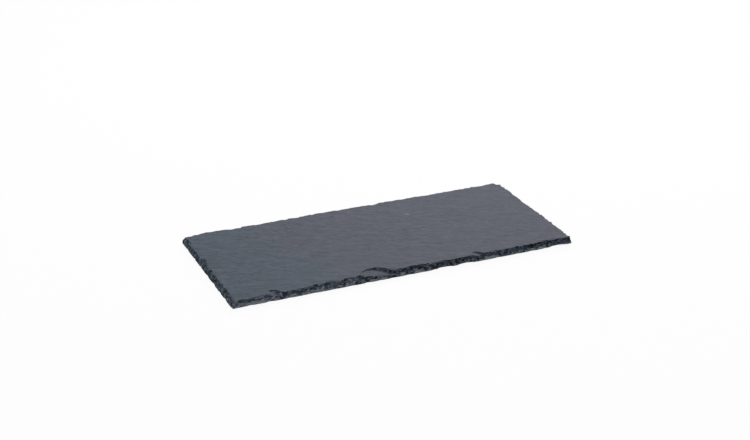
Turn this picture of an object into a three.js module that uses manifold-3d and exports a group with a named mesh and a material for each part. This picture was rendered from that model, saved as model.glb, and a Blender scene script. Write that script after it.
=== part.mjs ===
// A rectangular serving plate of natural slate on four self-adhesive feet.
// The plate is split from the block, so its top and underside are parallel cleavage faces. Its edges are
// dressed by hand: blow after blow knocks a flake off the upper arris and leaves a slanting, scalloped side.
// Millimetres, +Z up, +X along the plate, +Y to the back, origin on the table under the plate's centre.
import * as THREE from "three";
import { mergeVertices } from "three/addons/utils/BufferGeometryUtils.js";
import Module from "manifold-3d";

// Plate. Its front is a little out of square, so that the plate is narrower at its right end.
const PLATE_LENGTH = 300;
const PLATE_WIDTH = 133.3;
const PLATE_NARROWING = 0.8;
const PLATE_THICKNESS = 6.5;

// Dressed upper arris: overlapping flakes, each with its own width, reach over the top face and land.
// The land is the strip of the snapped side that is left standing above the underside. Each side was struck
// with its own force, and its flakes differ in reach by up to a share of it.
const FLAKE_PITCH = 6;
const FLAKE_PITCH_SPREAD = 2.5;
const FLAKE_WIDTH = 14;
const FLAKE_WIDTH_SPREAD = 5;
const FRONT_REACH = 1.3;
const RIGHT_REACH = 1.2;
const BACK_REACH = 1.1;
const LEFT_REACH = 2.4;
const REACH_SHARE_SPREAD = 0.5;
const LAND_HEIGHT = 0.9;
const LAND_HEIGHT_SPREAD = 0.7;

// Strong blows drove some flakes further in. Each is placed by its distance from the corner where its side
// starts, going anticlockwise round the plate as seen from above.
const FRONT_STRONG_FLAKES = [
  { along: 69, width: 9, reach: 3.2 },
  { along: 81, width: 12, reach: 3.7 },
  { along: 97, width: 13, reach: 3.7 },
  { along: 107, width: 10, reach: 3.7 },
  { along: 155, width: 16, reach: 3.7 },
  { along: 205, width: 9, reach: 2.4 },
  { along: 248, width: 9, reach: 3 },
  { along: 276, width: 9, reach: 2.9 },
];
const BACK_STRONG_FLAKES = [
  { along: 18, width: 12, reach: 2 },
  { along: 45, width: 30, reach: 1.9 },
  { along: 78, width: 16, reach: 2.3 },
  { along: 126, width: 14, reach: 3.1 },
  { along: 156, width: 30, reach: 1.8 },
  { along: 234, width: 40, reach: 2.2 },
  { along: 255, width: 22, reach: 3.8 },
  { along: 290, width: 20, reach: 2.6 },
];
const LEFT_STRONG_FLAKES = [
  { along: 54, width: 12, reach: 4.2 },
  { along: 112, width: 9, reach: 3.6 },
];

// A stretch of the upper front arris that no blow has struck, from the front left corner
const UNSTRUCK_FRONT = { start: 12, end: 62 };

// Lower arris: small chips that spall off towards the table
const CHIP_PITCH = 15;
const CHIP_PITCH_SPREAD = 6;
const CHIP_WIDTH = 7;
const CHIP_WIDTH_SPREAD = 3;
const CHIP_REACH = 0.7;
const CHIP_REACH_SPREAD = 0.4;
const CHIP_HEIGHT = 0.8;

// Long chips that set back the lower front arris, placed by their distance from the front left corner
const LONG_CHIP_REACH = 2.5;
const LONG_CHIP_HEIGHT = 2.2;
const LONG_CHIP_WIDTH = 20;
const LONG_CHIPS_ALONG = [182, 200, 286];

// Shell-shaped spalls in the front of the top face. Each feathers out to the left, where its tilted floor
// comes up to a lip above the top face, so that the lip is below zero. It ends in a deep step on the right,
// which is placed by its distance from the front left corner. The floor falls to the front, so lip and depth
// are measured at the back of the spall.
const SPALL_FALL = THREE.MathUtils.degToRad(4);
const SPALL_WALL_SLOPE = THREE.MathUtils.degToRad(12);
const GREAT_SPALL = { end: 135.5, width: 29, reach: 12, depth: 3.1, lip: -0.3 };
const LEFT_SPALL = { end: 39.3, width: 13, reach: 7.4, depth: 3, lip: -2.4 };
const RIGHT_SPALL = { end: 216, width: 11, reach: 6.4, depth: 2, lip: -0.6 };
const SPALL_SIDES = 13;

// Broken corners: how far each break runs along the side after the corner and along the side before it,
// going anticlockwise round the plate as seen from above, and how far down the corner it goes.
const FRONT_LEFT_BREAK = { after: 6, before: 5, drop: 4 };
const FRONT_RIGHT_BREAK = { after: 4, before: 4.5, drop: 5 };
const BACK_RIGHT_BREAK = { after: 9, before: 13, drop: 6 };
const BACK_LEFT_BREAK = { after: 20, before: 14, drop: 1.5 };

// Shape of a flake's scar: the share of a ball's radius by which the ball bites in
const SCAR_BITE = 0.2;
const SCAR_SEED = 20;

// Feet: die-cut foam discs on adhesive film, one near each corner
const FOOT_DIAMETER = 16;
const FOOT_THICKNESS = 2;
const FOOT_EDGE_ROUND = 0.3;
const FOOT_INSET = 24;
const FILM_MARGIN = 0.4;
const FILM_THICKNESS = 0.2;
const FOOT_SIDES = 32;

const UNDERSIDE_Z = FOOT_THICKNESS + FILM_THICKNESS;

const wasm = await Module();
wasm.setup();

// A three.js geometry as a solid that can be cut
function solidOf(geometry) {
  const bare = geometry.clone();
  bare.deleteAttribute("normal");
  bare.deleteAttribute("uv");
  const merged = mergeVertices(bare);
  return new wasm.Manifold(
    new wasm.Mesh({
      numProp: 3,
      vertProperties: merged.attributes.position.array,
      triVerts: new Uint32Array(merged.index.array),
    }),
  );
}

// A cut solid as a three.js geometry
function geometryOf(solid) {
  const mesh = solid.getMesh();
  return new THREE.BufferGeometry()
    .setAttribute("position", new THREE.BufferAttribute(mesh.vertProperties, 3))
    .setIndex(new THREE.BufferAttribute(mesh.triVerts, 1));
}

// Repeatable random numbers from 0 to 1 (a Park-Miller generator)
function randomNumbers(seed) {
  const modulus = 2147483647;
  const multiplier = 16807;
  let state = seed * multiplier;
  return () => {
    state = (state * multiplier) % modulus;
    return state / modulus;
  };
}
const random = randomNumbers(SCAR_SEED);
const spread = (middle, range) => middle + range * (2 * random() - 1);

// The corners of the plate's outline, anticlockwise
const halfLength = PLATE_LENGTH / 2;
const halfWidth = PLATE_WIDTH / 2;
const frontLeft = new THREE.Vector2(-halfLength, -halfWidth);
const frontRight = new THREE.Vector2(halfLength, PLATE_NARROWING - halfWidth);
const backRight = new THREE.Vector2(halfLength, halfWidth);
const backLeft = new THREE.Vector2(-halfLength, halfWidth);

// The four sides, each with the broken corner where it starts, the reach of its flakes and its strong flakes.
// In a side's own frame x runs along it from that corner, y runs into the plate and z is the height above the
// underside.
function sideOf(start, end, corner, reach, strongFlakes) {
  const run = end.clone().sub(start);
  const frame = new THREE.Matrix4().makeRotationZ(run.angle()).setPosition(start.x, start.y, 0);
  return { frame, length: run.length(), corner, reach, strongFlakes };
}
const front = sideOf(frontLeft, frontRight, FRONT_LEFT_BREAK, FRONT_REACH, FRONT_STRONG_FLAKES);
const right = sideOf(frontRight, backRight, FRONT_RIGHT_BREAK, RIGHT_REACH, []);
const back = sideOf(backRight, backLeft, BACK_RIGHT_BREAK, BACK_REACH, BACK_STRONG_FLAKES);
const left = sideOf(backLeft, frontLeft, BACK_LEFT_BREAK, LEFT_REACH, LEFT_STRONG_FLAKES);
const sides = [front, right, back, left];

// What one blow removes: part of a faceted ball, stretched so that its scar is so wide and so high, and
// reaches so far into the plate, with the ball's middle at the height of the arris that is struck.
function scarCutter(frame, along, turn, arris, width, reach, height) {
  const capRadius = Math.sqrt(1 - (1 - SCAR_BITE) ** 2);
  const ball = new THREE.IcosahedronGeometry(1, 1);
  ball.rotateX(2 * Math.PI * random());
  ball.rotateZ(2 * Math.PI * random());
  ball.scale(width / 2 / capRadius, reach / SCAR_BITE, height / capRadius);
  ball.translate(0, reach - reach / SCAR_BITE, 0);
  ball.rotateZ(turn);
  ball.translate(along, 0, arris);
  return solidOf(ball.applyMatrix4(frame));
}

// A row of flakes along the upper arris of one side
function flakeCutters(side) {
  const cutters = [];
  for (let along = 0; along < side.length; along += spread(FLAKE_PITCH, FLAKE_PITCH_SPREAD)) {
    const width = spread(FLAKE_WIDTH, FLAKE_WIDTH_SPREAD);
    const reach = side.reach * spread(1, REACH_SHARE_SPREAD);
    const height = PLATE_THICKNESS - spread(LAND_HEIGHT, LAND_HEIGHT_SPREAD);
    const cutter = scarCutter(side.frame, along, 0, PLATE_THICKNESS, width, reach, height);
    const unstruck = side === front && along > UNSTRUCK_FRONT.start && along < UNSTRUCK_FRONT.end;
    if (!unstruck) cutters.push(cutter);
  }
  return cutters;
}

// Scattered chips along the lower arris of one side
function chipCutters(side) {
  const cutters = [];
  for (let along = CHIP_PITCH; along < side.length; along += spread(CHIP_PITCH, CHIP_PITCH_SPREAD)) {
    const width = spread(CHIP_WIDTH, CHIP_WIDTH_SPREAD);
    const reach = spread(CHIP_REACH, CHIP_REACH_SPREAD);
    cutters.push(scarCutter(side.frame, along, 0, 0, width, reach, CHIP_HEIGHT));
  }
  return cutters;
}

// The flakes that strong blows knocked off one side
function strongFlakeCutters(side) {
  const height = PLATE_THICKNESS - LAND_HEIGHT;
  return side.strongFlakes.map(({ along, width, reach }) =>
    scarCutter(side.frame, along, 0, PLATE_THICKNESS, width, reach, height),
  );
}

// The long chips of the lower front arris
function longChipCutters() {
  return LONG_CHIPS_ALONG.map((along) =>
    scarCutter(front.frame, along, 0, 0, LONG_CHIP_WIDTH, LONG_CHIP_REACH, LONG_CHIP_HEIGHT),
  );
}

// The break across the corner where a side starts
function cornerCutter(side) {
  const { after, before, drop } = side.corner;
  const width = Math.hypot(after, before);
  const reach = (after * before) / width;
  const turn = -Math.atan2(before, after);
  return scarCutter(side.frame, 0, turn, PLATE_THICKNESS, width, reach, drop);
}

// A spall of the front edge: a tilted disc whose flat face is the scar's floor and whose rim is its step
function spallCutter({ end, width, reach, depth, lip }) {
  const radius = (reach ** 2 + (width / 2) ** 2) / (2 * reach);
  const lean = Math.asin((depth - lip) / width);
  const wallRun = PLATE_THICKNESS * Math.tan(SPALL_WALL_SLOPE);
  const disc = new THREE.CylinderGeometry(radius + wallRun, radius, PLATE_THICKNESS, SPALL_SIDES);
  disc.rotateX(Math.PI / 2);
  disc.translate(0, 0, PLATE_THICKNESS / 2);
  disc.rotateY(lean);
  disc.rotateX(SPALL_FALL);
  const overhang = radius - reach;
  const floor = PLATE_THICKNESS - (depth + lip) / 2 - radius * Math.sin(SPALL_FALL);
  disc.translate(end - width / 2, -overhang, floor);
  return solidOf(disc.applyMatrix4(front.frame));
}

function slabGeometry() {
  const outline = new THREE.Shape([frontLeft, frontRight, backRight, backLeft]);
  const blank = new THREE.ExtrudeGeometry(outline, { depth: PLATE_THICKNESS, bevelEnabled: false });
  const cutters = [
    ...sides.flatMap(flakeCutters),
    ...sides.flatMap(chipCutters),
    ...sides.map(cornerCutter),
    ...[GREAT_SPALL, LEFT_SPALL, RIGHT_SPALL].map(spallCutter),
    ...sides.flatMap(strongFlakeCutters),
    ...longChipCutters(),
  ];
  return geometryOf(cutters.reduce((slab, cutter) => slab.subtract(cutter), solidOf(blank)));
}

// A foam disc with softly rounded rims, standing on z = 0
function footGeometry() {
  const radius = FOOT_DIAMETER / 2;
  const profile = [
    new THREE.Vector2(0, 0),
    new THREE.Vector2(radius - FOOT_EDGE_ROUND, 0),
    new THREE.Vector2(radius, FOOT_EDGE_ROUND),
    new THREE.Vector2(radius, FOOT_THICKNESS - FOOT_EDGE_ROUND),
    new THREE.Vector2(radius - FOOT_EDGE_ROUND, FOOT_THICKNESS),
    new THREE.Vector2(0, FOOT_THICKNESS),
  ];
  return new THREE.LatheGeometry(profile, FOOT_SIDES).rotateX(Math.PI / 2);
}

// The adhesive film between a foot and the underside
function filmGeometry() {
  const radius = FOOT_DIAMETER / 2 - FOOT_EDGE_ROUND - FILM_MARGIN;
  return new THREE.CylinderGeometry(radius, radius, FILM_THICKNESS, FOOT_SIDES).rotateX(Math.PI / 2);
}

const slate = new THREE.MeshStandardMaterial({ color: 0x5f636c, roughness: 0.75, metalness: 0 });
const foam = new THREE.MeshStandardMaterial({ color: 0x232426, roughness: 0.9, metalness: 0 });
const film = new THREE.MeshStandardMaterial({ color: 0xcfccbe, roughness: 0.4, metalness: 0 });

function part(name, geometry, material, x, y, z) {
  const mesh = new THREE.Mesh(geometry, material);
  mesh.name = name;
  mesh.position.set(x, y, z);
  return mesh;
}

const plate = new THREE.Group();
plate.add(part("slate_slab", slabGeometry(), slate, 0, 0, UNDERSIDE_Z));
const footX = halfLength - FOOT_INSET;
const footY = halfWidth - FOOT_INSET;
for (const [corner, x, y] of [
  ["front_left", -footX, -footY],
  ["front_right", footX, -footY],
  ["back_left", -footX, footY],
  ["back_right", footX, footY],
]) {
  plate.add(part(`foot_pad_${corner}`, footGeometry(), foam, x, y, 0));
  plate.add(part(`foot_film_${corner}`, filmGeometry(), film, x, y, FOOT_THICKNESS + FILM_THICKNESS / 2));
}

export default plate;
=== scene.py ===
# A serving plate of natural slate, dressed by hand, on four foam feet: its stone, its finishes and its light.
import collections
import math
import random

import bmesh
import bpy
from mathutils import Euler, Matrix, Vector, noise


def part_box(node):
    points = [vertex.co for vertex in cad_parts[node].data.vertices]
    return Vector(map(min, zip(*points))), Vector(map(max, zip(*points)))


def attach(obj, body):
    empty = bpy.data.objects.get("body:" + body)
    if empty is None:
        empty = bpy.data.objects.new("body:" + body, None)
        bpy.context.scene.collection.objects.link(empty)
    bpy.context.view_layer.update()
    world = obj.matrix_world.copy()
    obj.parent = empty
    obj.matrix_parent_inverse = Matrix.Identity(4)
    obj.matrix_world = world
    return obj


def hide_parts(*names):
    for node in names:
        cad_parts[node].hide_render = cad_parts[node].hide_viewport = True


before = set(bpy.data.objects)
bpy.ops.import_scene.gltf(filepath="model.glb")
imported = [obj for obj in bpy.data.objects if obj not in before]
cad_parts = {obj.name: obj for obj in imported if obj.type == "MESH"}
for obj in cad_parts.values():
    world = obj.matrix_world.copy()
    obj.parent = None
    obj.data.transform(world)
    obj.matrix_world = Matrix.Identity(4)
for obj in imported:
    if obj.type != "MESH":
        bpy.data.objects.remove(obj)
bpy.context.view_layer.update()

MM = 0.001

# Camera, as the photograph was taken
EYE = Vector((-448.9, -1032.7, 519.55)) * MM
AZIMUTH = math.radians(-23.415)
ELEVATION = math.radians(23.767)
ROLL = math.radians(-0.1)
LENS_MM = 70.73
SENSOR_MM = 36
SIGHT_END = 50

# Slate body: the grid that the broken stone is carved on, and what is kept of it. Heights are stretched while
# the mesh is thinned, so that thinning keeps the low relief of the faces. The slab is then drawn in by a
# hair, because thinning moves some vertices past its box.
WELD = 0.001 * MM
GRID = 0.28 * MM
SLATE_TRIANGLES = 195000
THINNING_STRETCH = 2.5
DRAWN_IN = 0.9999
SHARP_EDGE = math.radians(22)

# Laminae of the broken edge, and the fragments that are missing from them. Lengths are in millimetres from
# here on, apart from those of the studio.
LAMINA = 0.75
LAMINA_SPREAD = 0.3
LAMINA_WAVE = 0.35
LAMINA_WAVE_LENGTH = 26
LAND = 1.1
FRAGMENT_PITCH = 4.4
FRAGMENT_PITCH_SPREAD = 1.6
FRAGMENT_HALF = (1.6, 4.1)
FRAGMENT_BITE = 1.5
FRAGMENT_CORNERS = (3, 5)
FRAGMENT_SHARE = 0.7
SLOT_SHARE = 0.45
SLOT_BITE = 2
FRAGMENT_OUT = 4
FRAGMENT_ABOVE = 1
FRAGMENT_LEAN = 0.35
CORNER_PLAY = (0.2, 0.8)
CORNER_REACH = (0.6, 1)
DRESSED_DEPTH = 4.5
CORNER_KEPT = 5
BREAKAGE_SEED = 7

# Fragments that could meet go to different sets: every third of a row may share one
ROW_SETS = 3

# Thin flakes that left the rim of the top face
RIM_FLAKE_HEIGHT = (0.1, 0.3)
RIM_FLAKE_PITCH = 19
RIM_FLAKE_PITCH_SPREAD = 8
RIM_FLAKE_HALF = (4, 13)
RIM_FLAKE_BITE = (0.7, 3.6)
RIM_FLAKE_CORNERS = (5, 9)

# Hackly break: small tilted platelets and grit on every broken surface. NOISE_SEED fixes the offsets of
# noise_vector, which would otherwise follow the clock.
NOISE_SEED = 1
STEEP = (0.02, 0.3)
PLATELET_LENGTH = 2.3
PLATELET_HEIGHT = 0.9
PLATELET_DEPTH = 0.4
PLATELET_TILT = 0.5
TILT_SEED = 7.3
DEPTH_SEED = 5.7
GRIT = 0.06
GRIT_LENGTH = 0.7

# Cleavage relief: slow swell, streaks along the grain and thin scales left standing
GRAIN_TURN = math.radians(-23)
SWELL = 0.18
SWELL_LENGTH = 48
STREAK = 0.2
STREAK_LENGTH = 9
STREAK_WIDTH = 2.7
STREAK_SEED = 11
FINE_STREAK_SEED = 17
SCALE_HEIGHT = 0.1
SCALE_LENGTH = 15
SCALE_WIDTH = 6
SCALE_STEP = (0.1, 0.15)
SCALE_SEED = 23
FACE_ZONE = (3.2, 5.8)
TOP_SEED = 1.5
UNDERSIDE_SEED = 71.5
UNDERSIDE_RELIEF = 0.25

# Where the slate is a cleavage face, a sharp ridge or a crevice, which is darkened with painted shade
CLEAVAGE_SLOPE = (0.80, 0.97)
RIDGE = (0.52, 0.60)
PAINTED_CREVICE_SHADE = (0.48, 0.40)
MOTTLE_SIZE = 0.9

# Colours and marks of the cleavage faces. The left end is bluer, and the top has one small pale bruise.
RIVEN_LEFT = (76, 85.5, 97)
RIVEN_RIGHT = (81, 84.5, 95.5)
TINT_SIZE = 60
MARK_STRETCH = (2.5, 1, 1)
MARK_BEND = (0, 8, 0)
MARK_BEND_SIZE = 35
FINE_STREAK_SIZE = 1.9
BROAD_STREAK_SIZE = 7
DASH_SIZE = 2.8
STRENGTH_SIZE = 24
PALE_SPOT = (43.2, 33, 8.6)
PALE_SPOT_RADII = (2.6, 0.8)
RIVEN_BUMP = 0.25

# Colours and marks of the breaks. Their dark hollows are partly the stone's darker break and partly painted
# shade. The front and the left edge face away from the softbox, so they get the darkest painted hollow shade
# and the most bruising; the front edge is paler low down, in patches, and worn paler towards its left end.
DARK_HOLLOW_SHADE = (23, 33, 46)
PALER_HOLLOW_SHADE = (50, 60, 72)
BROKEN = (102, 112, 125)
BRUISE = (176, 184, 194)
BED_STRETCH = (8, 8, 1)
BED_SIZE = 0.4
PATCH_SIZE = 2.6
CHUNK_SIZE = 5
LOW_PATCH_SIZE = 9
PALER_BELOW_HEIGHTS = (6.5, 2.5)
WORN_STRETCH = (-30, -80)
FRONTAL = (-0.2, -0.7)
# Direction away from the softbox: sides facing it get darker painted hollow shade and stronger bruises
SOFTBOX_AWAY_DIRECTION = (-0.5, -0.7, 0)
AWAY_FROM_SOFTBOX_RANGE = (0, 0.4)
BREAK_BUMP = 0.18

# Feet
FEET = ("front_left", "front_right", "back_left", "back_right")
FOOT_STEPS = 72
RIM_STEPS = 6
SIDE_STEPS = 8
FOOT_RINGS = 10
FOOT_WAIST = 0.12
FOOT_RIM = 0.3
FOOT_PORE = 0.05
FOOT_PORE_LENGTH = 0.9
FOOT_PORE_SLOPE = (1, 0.5)
FOAM_DARK = (30, 31, 33)
FOAM_PALE = (52, 53, 55)
FOAM_CELLS_PER_MM = 2.6
FOAM_BUMP = 0.12
DUST_SIZE = 3
FILM_RINGS = 6
FILM_RIM = 0.06
FILM_DULL = (196, 194, 182)
FILM_MILKY = (221, 219, 208)
SMEAR_SIZE = 2.2
FILM_BUMP = 0.05

# Studio, in metres: a softbox behind the plate and above it, a soft sky and a white floor
SOFTBOX_PLACE = Vector((0.45, 0.62, 0.78))
SOFTBOX_SIZE = 0.66
SOFTBOX_POWER = 6
SKY_LOW = 0.15
SKY_HIGH = 0.85
WHITE = (1, 1, 1, 1)
PAPER = (0.97, 0.97, 0.97, 1)
FLOOR_HALF = 6
FLOOR_GLOW = 0.95
FLOOR_BOUNCE = (0.45, 0.45, 0.45, 1)


def srgb(red, green, blue):
    """A colour from its 0 to 255 screen values, as the linear colour that a shader takes."""
    def linear(value):
        part = value / 255
        return part / 12.92 if part <= 0.04045 else ((part + 0.055) / 1.055) ** 2.4
    return (linear(red), linear(green), linear(blue), 1)


def smooth_step(value, low, high):
    """0 below low, 1 above high, and a smooth rise between them."""
    t = min(max((value - low) / (high - low), 0), 1)
    return t * t * (3 - 2 * t)


# Meshes

def new_piece(name, bm):
    """An object at the origin that holds this bmesh."""
    mesh = bpy.data.meshes.new(name)
    bm.to_mesh(mesh)
    bm.free()
    piece = bpy.data.objects.new(name, mesh)
    bpy.context.scene.collection.objects.link(piece)
    return piece


def settle(piece):
    """Makes what the piece's modifiers show its own mesh."""
    shown = piece.evaluated_get(bpy.context.evaluated_depsgraph_get())
    settled = bpy.data.meshes.new_from_object(shown)
    piece.modifiers.clear()
    piece.data = settled


def dress(piece, finish, slot, *nodes):
    """Gives a piece its finish, and puts it in the place of the CAD nodes that it stands for."""
    piece.data.materials.clear()
    piece.data.materials.append(finish)
    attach(piece, "root")
    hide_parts(*nodes)


# Slate body

class Slab:
    """The slab's own measures: millimetres, heights from the underside."""

    def __init__(self):
        low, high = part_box("slate_slab")
        self.foot = Vector(((low.x + high.x) / 2, (low.y + high.y) / 2, low.z))
        self.half_length = (high.x - low.x) / 2 / MM
        self.half_width = (high.y - low.y) / 2 / MM
        self.thickness = (high.z - low.z) / MM
        self.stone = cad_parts["slate_slab"]

    def sides(self):
        """Each side's length and its own frame, in millimetres: x along it, y into the plate and z up."""
        for quarter, (right, back) in enumerate(((-1, -1), (1, -1), (1, 1), (-1, 1))):
            corner = self.foot + Vector((right * self.half_length, back * self.half_width, 0)) * MM
            length = 2 * (self.half_width if quarter % 2 else self.half_length)
            turn = Matrix.Rotation(quarter * math.pi / 2, 4, "Z")
            yield length, Matrix.Translation(corner) @ turn @ Matrix.Scale(MM, 4)

    def surface(self, side, along, height):
        """How deep into the plate the stone's surface lies at a place of a side."""
        outside = side @ Vector((along, -FRAGMENT_OUT, height))
        inward = (side.to_3x3() @ Vector((0, 1, 0))).normalized()
        hit, place, _, _ = self.stone.ray_cast(outside, inward)
        return (place - outside).length / MM - FRAGMENT_OUT if hit else math.inf


def add_fragment(bm, side, place, heights, half, bite, corners, chance):
    """Adds one missing fragment: a ragged bay in the side, so wide and so deep, between two heights."""
    along, surface = place
    low, high = heights
    outline = [(-half, -FRAGMENT_OUT)]
    for corner in range(corners):
        run = 2 * (corner + chance.uniform(*CORNER_PLAY)) / corners - 1
        outline.append((half * run, bite * math.sqrt(1 - run * run) * chance.uniform(*CORNER_REACH)))
    outline.append((half, -FRAGMENT_OUT))
    floor = bm.faces.new([bm.verts.new(side @ Vector((along + x, surface + y, low))) for x, y in outline])
    risen = bmesh.ops.extrude_face_region(bm, geom=[floor])
    upper = [item for item in risen["geom"] if isinstance(item, bmesh.types.BMVert)]
    lean = chance.uniform(-FRAGMENT_LEAN, FRAGMENT_LEAN) * min(high - low, LAMINA)
    bmesh.ops.translate(bm, verts=upper, vec=side.to_3x3() @ Vector((0, lean, high - low)))


def lamina_heights(slab, chance):
    """Where the laminae of the edge part, from the land up to the top face."""
    heights = [LAND]
    while heights[-1] < slab.thickness - LAMINA:
        heights.append(heights[-1] + LAMINA + chance.uniform(-LAMINA_SPREAD, LAMINA_SPREAD))
    return heights[:-1] + [slab.thickness]


def spaced(length, pitch, spread, chance):
    """Places along a side, a pitch apart, more or less."""
    along = chance.uniform(0, pitch)
    while along < length:
        yield along
        along += pitch + chance.uniform(-spread, spread)


def missing_fragments(slab, chance):
    """What is missing from the laminae, in sets in which no fragment meets another.

    A fragment goes with all that lay on it, which leaves a ledge, or it leaves a slot under a lamina.
    """
    sets = collections.defaultdict(bmesh.new)
    heights = lamina_heights(slab, chance)
    for quarter, (length, side) in enumerate(slab.sides()):
        for lamina, (low, high) in enumerate(zip(heights, heights[1:])):
            row = spaced(length, FRAGMENT_PITCH, FRAGMENT_PITCH_SPREAD, chance)
            for number, along in enumerate(row):
                wave = LAMINA_WAVE * noise.noise(side @ Vector((along, 0, 0)) / (LAMINA_WAVE_LENGTH * MM))
                surface = slab.surface(side, along, (low + high) / 2)
                slot = chance.random() < SLOT_SHARE
                ceiling = high + wave if slot else slab.thickness + FRAGMENT_ABOVE
                half = chance.uniform(*FRAGMENT_HALF)
                bite = (SLOT_BITE if slot else FRAGMENT_BITE) * chance.random() ** 2
                corners = chance.randint(*FRAGMENT_CORNERS)
                loose = surface < DRESSED_DEPTH and min(along, length - along) > CORNER_KEPT
                if loose and chance.random() < FRAGMENT_SHARE:
                    span = (low + wave, ceiling)
                    bm = sets[quarter % 2, lamina, number % ROW_SETS]
                    add_fragment(bm, side, (along, surface), span, half, bite, corners, chance)
    return list(sets.values())


def rim_flakes(slab, chance):
    """Thin flakes that left the rim of the top face, in sets in which none meets another."""
    sets = collections.defaultdict(bmesh.new)
    for quarter, (length, side) in enumerate(slab.sides()):
        for number, along in enumerate(spaced(length, RIM_FLAKE_PITCH, RIM_FLAKE_PITCH_SPREAD, chance)):
            low = slab.thickness - chance.uniform(*RIM_FLAKE_HEIGHT)
            surface = slab.surface(side, along, (low + slab.thickness) / 2)
            half = chance.uniform(*RIM_FLAKE_HALF)
            bite = chance.uniform(*RIM_FLAKE_BITE)
            corners = chance.randint(*RIM_FLAKE_CORNERS)
            if surface < DRESSED_DEPTH:
                span = (low, slab.thickness + FRAGMENT_ABOVE)
                bm = sets[quarter % 2, number % ROW_SETS]
                add_fragment(bm, side, (along, surface), span, half, bite, corners, chance)
    return list(sets.values())


def carve(piece, sets):
    """Takes each set of fragments out of the piece."""
    cutters = []
    for number, bm in enumerate(sets):
        bmesh.ops.recalc_face_normals(bm, faces=bm.faces)
        cutters.append(new_piece("missing_fragments_%d" % number, bm))
        cut = piece.modifiers.new("broken out", "BOOLEAN")
        cut.operation = "DIFFERENCE"
        cut.solver = "MANIFOLD"
        cut.object = cutters[-1]
    settle(piece)
    for cutter in cutters:
        bpy.data.objects.remove(cutter)


def drop_specks(mesh):
    """Deletes the loose specks and flaps that breakage and thinning leave: all but the stone's largest part.

    Two faces belong to one part if they share an edge that no third face has.
    """
    bm = bmesh.new()
    bm.from_mesh(mesh)
    parts = []
    seen = set()
    for seed in bm.faces:
        if seed not in seen:
            seen.add(seed)
            part = [seed]
            for face in part:
                fresh = {other for edge in face.edges if edge.is_manifold for other in edge.link_faces} - seen
                seen |= fresh
                part.extend(fresh)
            parts.append(part)
    parts.sort(key=len)
    bmesh.ops.delete(bm, geom=[face for part in parts[:-1] for face in part], context="FACES")
    bm.to_mesh(mesh)
    bm.free()


def cleavage_fall(x, y, seed):
    """How far a cleavage face lies below its highest plane."""
    along = x * math.cos(GRAIN_TURN) + y * math.sin(GRAIN_TURN)
    across = y * math.cos(GRAIN_TURN) - x * math.sin(GRAIN_TURN)
    swell = 0.5 + 0.5 * noise.noise((x / SWELL_LENGTH, y / SWELL_LENGTH, seed))
    u = along / STREAK_LENGTH
    v = across / STREAK_WIDTH
    streak = noise.noise((u, v, seed + STREAK_SEED))
    streak += 0.5 * noise.noise((2 * u, 2 * v, seed + FINE_STREAK_SEED))
    scale = noise.noise((along / SCALE_LENGTH, across / SCALE_WIDTH, seed + SCALE_SEED)) + 0.3 * streak
    lost = 1 - smooth_step(scale, *SCALE_STEP)
    return max(SWELL * swell + STREAK * (0.5 + 0.5 * streak) + SCALE_HEIGHT * lost, 0)


def platelet_recess(point):
    """How far the small platelet at a point of the broken edge lies back."""
    x, y, z = point
    place = Vector((x / PLATELET_LENGTH, y / PLATELET_LENGTH, z / PLATELET_HEIGHT))
    centre = noise.voronoi(place)[1][0]
    tilt = noise.noise_vector(centre * TILT_SEED).dot(place - centre)
    depth = 0.5 + 0.5 * noise.cell(centre * DEPTH_SEED) + PLATELET_TILT * tilt
    return PLATELET_DEPTH * min(max(depth, 0), 1)


def weathered(slab, point, normal):
    """Where a point of the carved slab lies once its faces are riven and its breaks are rough."""
    x, y, z = point
    steep = smooth_step(1 - abs(normal.z), *STEEP)
    place = point.copy()
    if steep:
        rough = platelet_recess(point) + GRIT * (0.5 + 0.5 * noise.noise(point / GRIT_LENGTH))
        place -= Vector((normal.x, normal.y, 0)) * steep * rough
    place.z -= smooth_step(z, *FACE_ZONE) * cleavage_fall(x, y, TOP_SEED)
    underside = UNDERSIDE_RELIEF * smooth_step(slab.thickness - z, *FACE_ZONE)
    place.z += underside * cleavage_fall(x, y, UNDERSIDE_SEED)
    return place


def carved_slab(slab):
    """The CAD slab with fragments and flakes broken out of its edge, on an even grid."""
    chance = random.Random(BREAKAGE_SEED)
    bm = bmesh.new()
    bm.from_mesh(slab.stone.data)
    bmesh.ops.remove_doubles(bm, verts=bm.verts, dist=WELD)
    piece = new_piece("slate_body", bm)
    carve(piece, missing_fragments(slab, chance))
    carve(piece, rim_flakes(slab, chance))
    remesh = piece.modifiers.new("even grid", "REMESH")
    remesh.mode = "VOXEL"
    remesh.voxel_size = GRID
    settle(piece)
    return piece


def slate_body():
    """The carved slab with riven faces and rough breaks."""
    slab = Slab()
    piece = carved_slab(slab)
    noise.seed_set(NOISE_SEED)
    stretch = Vector((1, 1, THINNING_STRETCH))
    mesh = piece.data
    moved = [weathered(slab, (v.co - slab.foot) / MM, v.normal) * stretch for v in mesh.vertices]
    mesh.vertices.foreach_set("co", [number for place in moved for number in place])
    thin = piece.modifiers.new("thinned", "DECIMATE")
    thin.ratio = SLATE_TRIANGLES / (2 * len(mesh.polygons))
    settle(piece)
    drop_specks(piece.data)
    size = Matrix.Diagonal((MM * DRAWN_IN, MM * DRAWN_IN, MM / THINNING_STRETCH, 1))
    piece.data.transform(Matrix.Translation(slab.foot) @ size)
    piece.data.shade_smooth()
    piece.data.set_sharp_from_angle(angle=SHARP_EDGE)
    return piece


# Finishes

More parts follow.
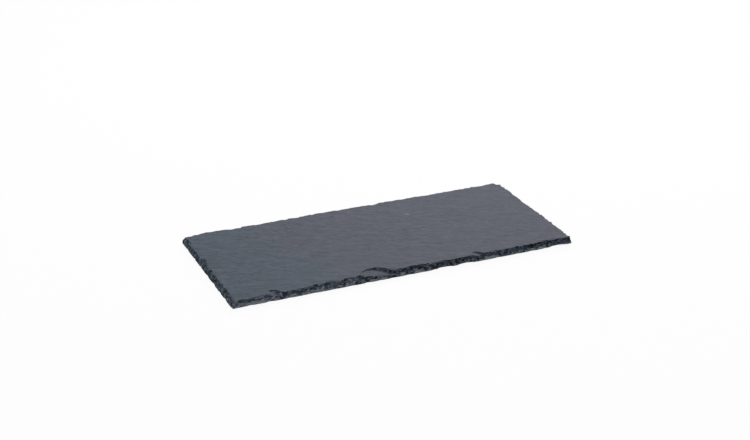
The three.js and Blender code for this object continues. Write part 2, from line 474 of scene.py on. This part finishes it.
class Value:
    """A number that varies over a surface: an output socket, whose operators add Math nodes."""

    def __init__(self, finish, socket):
        self.finish = finish
        self.socket = socket

    def math(self, operation, first, second):
        return self.finish.node("ShaderNodeMath", {"operation": operation}, {0: first, 1: second})

    def __add__(self, other):
        return self.math("ADD", self, other)

    def __sub__(self, other):
        return self.math("SUBTRACT", self, other)

    def __rsub__(self, other):
        return self.math("SUBTRACT", other, self)

    def __mul__(self, other):
        return self.math("MULTIPLY", self, other)

    __radd__ = __add__
    __rmul__ = __mul__


class Finish:
    """A node tree that is written as expressions."""

    def __init__(self, tree):
        self.tree = tree
        tree.nodes.clear()

    def node(self, kind, settings, inputs, output=0):
        """Adds a node, sets it up, fills or links its sockets and returns one output."""
        node = self.tree.nodes.new(kind)
        for name, value in settings.items():
            setattr(node, name, value)
        for key, value in inputs.items():
            if isinstance(value, Value):
                self.tree.links.new(value.socket, node.inputs[key])
            else:
                node.inputs[key].default_value = value
        return Value(self, node.outputs[output])

    def place(self, turn=0, stretch=(1, 1, 1)):
        """Object coordinates in millimetres, turned about the vertical and then stretched."""
        here = self.node("ShaderNodeTexCoord", {}, {}, "Object")
        turned = self.node("ShaderNodeMapping", {}, {"Vector": here, "Rotation": (0, 0, turn)})
        scale = [1 / (MM * s) for s in stretch]
        return self.node("ShaderNodeMapping", {}, {"Vector": turned, "Scale": scale})

    def geometry(self, output):
        """What the geometry itself says, such as its normal."""
        return self.node("ShaderNodeNewGeometry", {}, {}, output)

    def part(self, vector, axis):
        """One coordinate of a vector."""
        return self.node("ShaderNodeSeparateXYZ", {}, {"Vector": vector}, axis)

    def measure(self, operation, first, second):
        """A number from two vectors, such as their distance."""
        return self.node("ShaderNodeVectorMath", {"operation": operation}, {0: first, 1: second}, "Value")

    def noise(self, place, size, detail=3, roughness=0.5):
        """Noise from 0 to 1 whose features are about size millimetres of the place across."""
        inputs = {"Vector": place, "Scale": 1 / size, "Detail": detail, "Roughness": roughness}
        return self.node("ShaderNodeTexNoise", {}, inputs)

    def rise(self, value, low, high):
        """0 below low, 1 above high and a smooth rise between."""
        settings = {"interpolation_type": "SMOOTHSTEP"}
        return self.node("ShaderNodeMapRange", settings, {"Value": value, "From Min": low, "From Max": high})

    def mix(self, first, second, share):
        """A colour that goes from first to second as share goes from 0 to 1."""
        return self.node("ShaderNodeMix", {"data_type": "RGBA"}, {0: share, 6: first, 7: second}, 2)

    def scale(self, colour, share):
        """A colour made darker or lighter."""
        return self.node("ShaderNodeVectorMath", {"operation": "SCALE"}, {0: colour, "Scale": share})

    def bump(self, height, distance):
        """A normal for relief that stands up to distance millimetres high."""
        return self.node("ShaderNodeBump", {}, {"Height": height, "Distance": distance * MM})

    def principled(self, **inputs):
        """A shader from the sockets of a Principled BSDF."""
        named = {key.replace("_", " "): value for key, value in inputs.items()}
        return self.node("ShaderNodeBsdfPrincipled", {}, named)

    def show(self, shader, kind="ShaderNodeOutputMaterial"):
        """Makes a shader what the tree shows."""
        output = self.tree.nodes.new(kind)
        self.tree.links.new(shader.socket, output.inputs["Surface"])


def finish_of(name):
    """A new material and the finish that its nodes are written in."""
    material = bpy.data.materials.new(name)
    material.use_nodes = True
    return material, Finish(material.node_tree)


def riven_face(f, plain, mottle, ridge):
    """The silky shader of the cleavage faces, streaked along the grain."""
    bend = f.noise(plain, MARK_BEND_SIZE, 2)
    straight = f.place(-GRAIN_TURN, MARK_STRETCH)
    bent = {0: bend, 1: MARK_BEND, 2: straight}
    grain = f.node("ShaderNodeVectorMath", {"operation": "MULTIPLY_ADD"}, bent)
    fine = f.noise(grain, FINE_STREAK_SIZE, 4, 0.65)
    broad = f.noise(grain, BROAD_STREAK_SIZE, 3, 0.6)
    streaks = f.rise(0.65 * fine + 0.35 * broad, 0.36, 0.64)
    dashes = f.rise(f.noise(grain, DASH_SIZE, 2, 0.5), 0.56, 0.70)
    strength = 0.26 + 0.62 * f.noise(plain, STRENGTH_SIZE, 2)
    spot = f.rise(f.measure("DISTANCE", plain, PALE_SPOT), *PALE_SPOT_RADII)
    zones = f.rise(f.noise(plain, TINT_SIZE, 2) + 0.005 * f.part(plain, "X"), -0.05, 0.25)
    tint = f.mix(srgb(*RIVEN_LEFT), srgb(*RIVEN_RIGHT), zones)
    shade = 0.9 + strength * (streaks - 0.5 - 0.3 * dashes) + 0.28 * mottle + 0.9 * spot + 0.25 * ridge
    return f.principled(
        Base_Color=f.scale(tint, shade),
        Roughness=0.58 + 0.14 * (mottle - 0.5) + 0.1 * (streaks - 0.5),
        Specular_IOR_Level=0.12,
        Normal=f.bump(0.5 * streaks - 0.3 * dashes + 0.3 * mottle, RIVEN_BUMP),
    )


def broken_edge(f, plain, mottle, ridge, facing):
    """The dull shader of the breaks: dark hollows that are partly painted shade, crevices darkened with
    painted shade, paler beds and bruises.
    """
    # Crevices, found by their low pointiness, are darkened with painted shade
    crevice_shade = f.rise(f.geometry("Pointiness"), *PAINTED_CREVICE_SHADE)
    frontal = f.rise(f.part(facing, "Y"), *FRONTAL)
    # Sides that face away from the softbox, the front and the left, get darker painted hollow shade and
    # stronger bruises
    away_from_softbox = f.rise(f.measure("DOT_PRODUCT", facing, SOFTBOX_AWAY_DIRECTION), *AWAY_FROM_SOFTBOX_RANGE)
    worn = f.rise(f.part(plain, "X"), *WORN_STRETCH)
    # The front face is made paler low down, in patches
    low_patches = f.rise(f.noise(plain, LOW_PATCH_SIZE, 2), 0.38, 0.62)
    low = f.rise(f.part(plain, "Z"), *PALER_BELOW_HEIGHTS) * (0.5 + 1.2 * low_patches)
    layers = f.noise(f.place(0, BED_STRETCH), BED_SIZE, 4, 0.6)
    chunks = f.noise(plain, CHUNK_SIZE, 2, 0.5)
    texture = 0.45 * layers + 0.55 * f.noise(plain, PATCH_SIZE, 3, 0.6)
    bruises = f.rise(texture + 0.14 * low * frontal + 0.05 * worn, 0.56, 0.67)
    grades = 0.7 * texture + 0.3 * chunks + 0.07 * low * frontal + 0.02 * worn
    depths = f.rise(grades, 0.43, 0.585)
    # Dark hollows are partly the stone's darker break and partly painted shade, paler where worn and on sides
    # the softbox lights
    hollow_shade = f.mix(srgb(*DARK_HOLLOW_SHADE), srgb(*PALER_HOLLOW_SHADE), worn * (0.15 + 0.75 * frontal) + (1 - away_from_softbox))
    broken = f.mix(hollow_shade, srgb(*BROKEN), depths - 0.5 * crevice_shade)
    broken = f.mix(broken, srgb(*BRUISE), (0.4 + 0.35 * away_from_softbox) * bruises + 0.25 * ridge)
    return f.principled(
        Base_Color=broken,
        Roughness=0.86 + 0.1 * (mottle - 0.5),
        Specular_IOR_Level=0.03,
        Normal=f.bump(layers + 0.7 * mottle, BREAK_BUMP),
    )


def slate_finish():
    """Riven blue-grey slate with a faint sheen, dull and bruised where it is broken."""
    material, f = finish_of("slate")
    plain = f.place()
    facing = f.geometry("Normal")
    flat = f.node("ShaderNodeMath", {"operation": "ABSOLUTE"}, {0: f.part(facing, "Z")})
    cleavage = f.rise(flat, *CLEAVAGE_SLOPE)
    ridge = f.rise(f.geometry("Pointiness"), *RIDGE)
    mottle = f.noise(plain, MOTTLE_SIZE, 4, 0.65)
    silky = riven_face(f, plain, mottle, ridge)
    dull = broken_edge(f, plain, mottle, ridge, facing)
    f.show(f.node("ShaderNodeMixShader", {}, {0: cleavage, 1: dull, 2: silky}))
    return material


def foam_finish():
    """Matt black closed-cell foam."""
    material, f = finish_of("foot_foam")
    plain = f.place()
    cells = f.node("ShaderNodeTexVoronoi", {}, {"Vector": plain, "Scale": FOAM_CELLS_PER_MM}, "Distance")
    dust = f.noise(plain, DUST_SIZE)
    foam = f.principled(
        Base_Color=f.mix(srgb(*FOAM_DARK), srgb(*FOAM_PALE), f.rise(cells + 0.3 * dust, 0.3, 0.9)),
        Roughness=0.82 + 0.12 * dust,
        Normal=f.bump(cells, FOAM_BUMP),
    )
    f.show(foam)
    return material


def film_finish():
    """Milky adhesive film."""
    material, f = finish_of("foot_film")
    smear = f.noise(f.place(), SMEAR_SIZE)
    film = f.principled(
        Base_Color=f.mix(srgb(*FILM_DULL), srgb(*FILM_MILKY), smear),
        Roughness=0.30 + 0.25 * smear,
        Normal=f.bump(smear, FILM_BUMP),
    )
    f.show(film)
    return material


# Feet

def turned(profile, centre):
    """A solid of revolution about the vertical through centre, from (radius, height) points."""
    bm = bmesh.new()
    points = [bm.verts.new((centre.x + radius, centre.y, height)) for radius, height in profile]
    edges = [bm.edges.new(pair) for pair in zip(points, points[1:])]
    axis = {"cent": (centre.x, centre.y, 0), "axis": (0, 0, 1), "angle": 2 * math.pi}
    bmesh.ops.spin(bm, geom=points + edges, steps=FOOT_STEPS, use_merge=True, **axis)
    bmesh.ops.remove_doubles(bm, verts=bm.verts, dist=WELD)
    bmesh.ops.recalc_face_normals(bm, faces=bm.faces)
    return bm


def rounded_disc(radius, low, high, rim, waist, rings):
    """Profile of a disc with round rims and a side that is drawn in at its waist."""
    flat = [(radius - rim) * ring / rings for ring in range(rings)]
    points = [(inner, low) for inner in flat]
    for step in range(RIM_STEPS + 1):
        turn = math.pi / 2 * step / RIM_STEPS
        points.append((radius - rim + rim * math.sin(turn), low + rim - rim * math.cos(turn)))
    side = high - low - 2 * rim
    for step in range(1, SIDE_STEPS):
        share = step / SIDE_STEPS
        points.append((radius - waist * math.sin(math.pi * share), low + rim + side * share))
    for step in range(RIM_STEPS + 1):
        turn = math.pi / 2 * step / RIM_STEPS
        points.append((radius - rim + rim * math.cos(turn), high - rim + rim * math.sin(turn)))
    return points + [(inner, high) for inner in reversed(flat)]


def foam_foot(corner):
    """A die-cut foam disc, open-pored at its cut side."""
    low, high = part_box("foot_pad_" + corner)
    radius = (high.x - low.x) / 2
    profile = rounded_disc(radius, low.z, high.z, FOOT_RIM * MM, FOOT_WAIST * MM, FOOT_RINGS)
    bm = turned(profile, (low + high) / 2)
    for vertex in bm.verts:
        cut_side = smooth_step(abs(vertex.normal.z), *FOOT_PORE_SLOPE)
        pore = noise.noise(vertex.co / (FOOT_PORE_LENGTH * MM)) * cut_side
        vertex.co -= vertex.normal * abs(pore) * FOOT_PORE * MM
    piece = new_piece("foam_foot_" + corner, bm)
    piece.data.shade_smooth()
    return piece


def adhesive_film(corner):
    """The adhesive film between a foot and the stone."""
    low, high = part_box("foot_film_" + corner)
    radius = (high.x - low.x) / 2
    profile = rounded_disc(radius, low.z, high.z, FILM_RIM * MM, 0, FILM_RINGS)
    piece = new_piece("adhesive_film_" + corner, turned(profile, (low + high) / 2))
    piece.data.shade_smooth()
    return piece


# Stage

def background_rays(f):
    """1 for rays that show the background itself, in the picture, a reflection or a clear piece."""
    path = "ShaderNodeLightPath"
    camera = f.node(path, {}, {}, "Is Camera Ray")
    glossy = f.node(path, {}, {}, "Is Glossy Ray")
    return camera + glossy + f.node(path, {}, {}, "Is Transmission Ray")


def add_floor():
    """A white floor that takes a faint shadow and lights the plate like grey card."""
    bm = bmesh.new()
    bmesh.ops.create_grid(bm, x_segments=1, y_segments=1, size=FLOOR_HALF)
    floor = new_piece("floor", bm)
    material, f = finish_of("floor")
    glow = f.node("ShaderNodeEmission", {}, {"Color": WHITE, "Strength": 1})
    paper = f.node("ShaderNodeBsdfDiffuse", {}, {"Color": PAPER})
    white = f.node("ShaderNodeMixShader", {}, {0: FLOOR_GLOW, 1: paper, 2: glow})
    grey = f.node("ShaderNodeBsdfDiffuse", {}, {"Color": FLOOR_BOUNCE})
    f.show(f.node("ShaderNodeMixShader", {}, {0: background_rays(f), 1: grey, 2: white}))
    floor.data.materials.append(material)


def add_sky():
    """A soft sky that is brighter overhead and looks white itself."""
    world = bpy.data.worlds.new("studio")
    bpy.context.scene.world = world
    world.use_nodes = True
    f = Finish(world.node_tree)
    up = f.part(f.node("ShaderNodeTexCoord", {}, {}, "Generated"), "Z")
    sky = f.node("ShaderNodeBackground", {}, {"Strength": SKY_LOW + (SKY_HIGH - SKY_LOW) * f.rise(up, 0, 1)})
    white = f.node("ShaderNodeBackground", {}, {"Color": WHITE, "Strength": 1})
    shown = f.node("ShaderNodeMixShader", {}, {0: background_rays(f), 1: sky, 2: white})
    f.show(shown, "ShaderNodeOutputWorld")


def add_softbox():
    """A large lamp behind the plate and above it, to the right."""
    light = bpy.data.lights.new("softbox", "AREA")
    light.shape = "SQUARE"
    light.size = SOFTBOX_SIZE
    light.energy = SOFTBOX_POWER
    lamp = bpy.data.objects.new("softbox", light)
    lamp.location = SOFTBOX_PLACE
    lamp.rotation_euler = SOFTBOX_PLACE.to_track_quat("Z", "Y").to_euler()
    lamp.visible_camera = False
    bpy.context.scene.collection.objects.link(lamp)


def add_camera():
    """The camera of the photograph."""
    data = bpy.data.cameras.new("camera")
    data.lens = LENS_MM
    data.sensor_width = SENSOR_MM
    data.clip_end = SIGHT_END
    camera = bpy.data.objects.new("camera", data)
    camera.location = EYE
    level = Euler((math.pi / 2 - ELEVATION, 0, AZIMUTH)).to_matrix()
    camera.rotation_euler = (level @ Matrix.Rotation(ROLL, 3, "Z")).to_euler()
    bpy.context.scene.collection.objects.link(camera)
    bpy.context.scene.camera = camera


add_camera()
add_floor()
add_sky()
add_softbox()
bpy.context.scene.view_settings.view_transform = "Standard"

dress(slate_body(), slate_finish(), "slate", "slate_slab")
foam = foam_finish()
film = film_finish()
for corner in FEET:
    dress(foam_foot(corner), foam, "foot_foam", "foot_pad_" + corner)
    dress(adhesive_film(corner), film, "foot_film", "foot_film_" + corner)
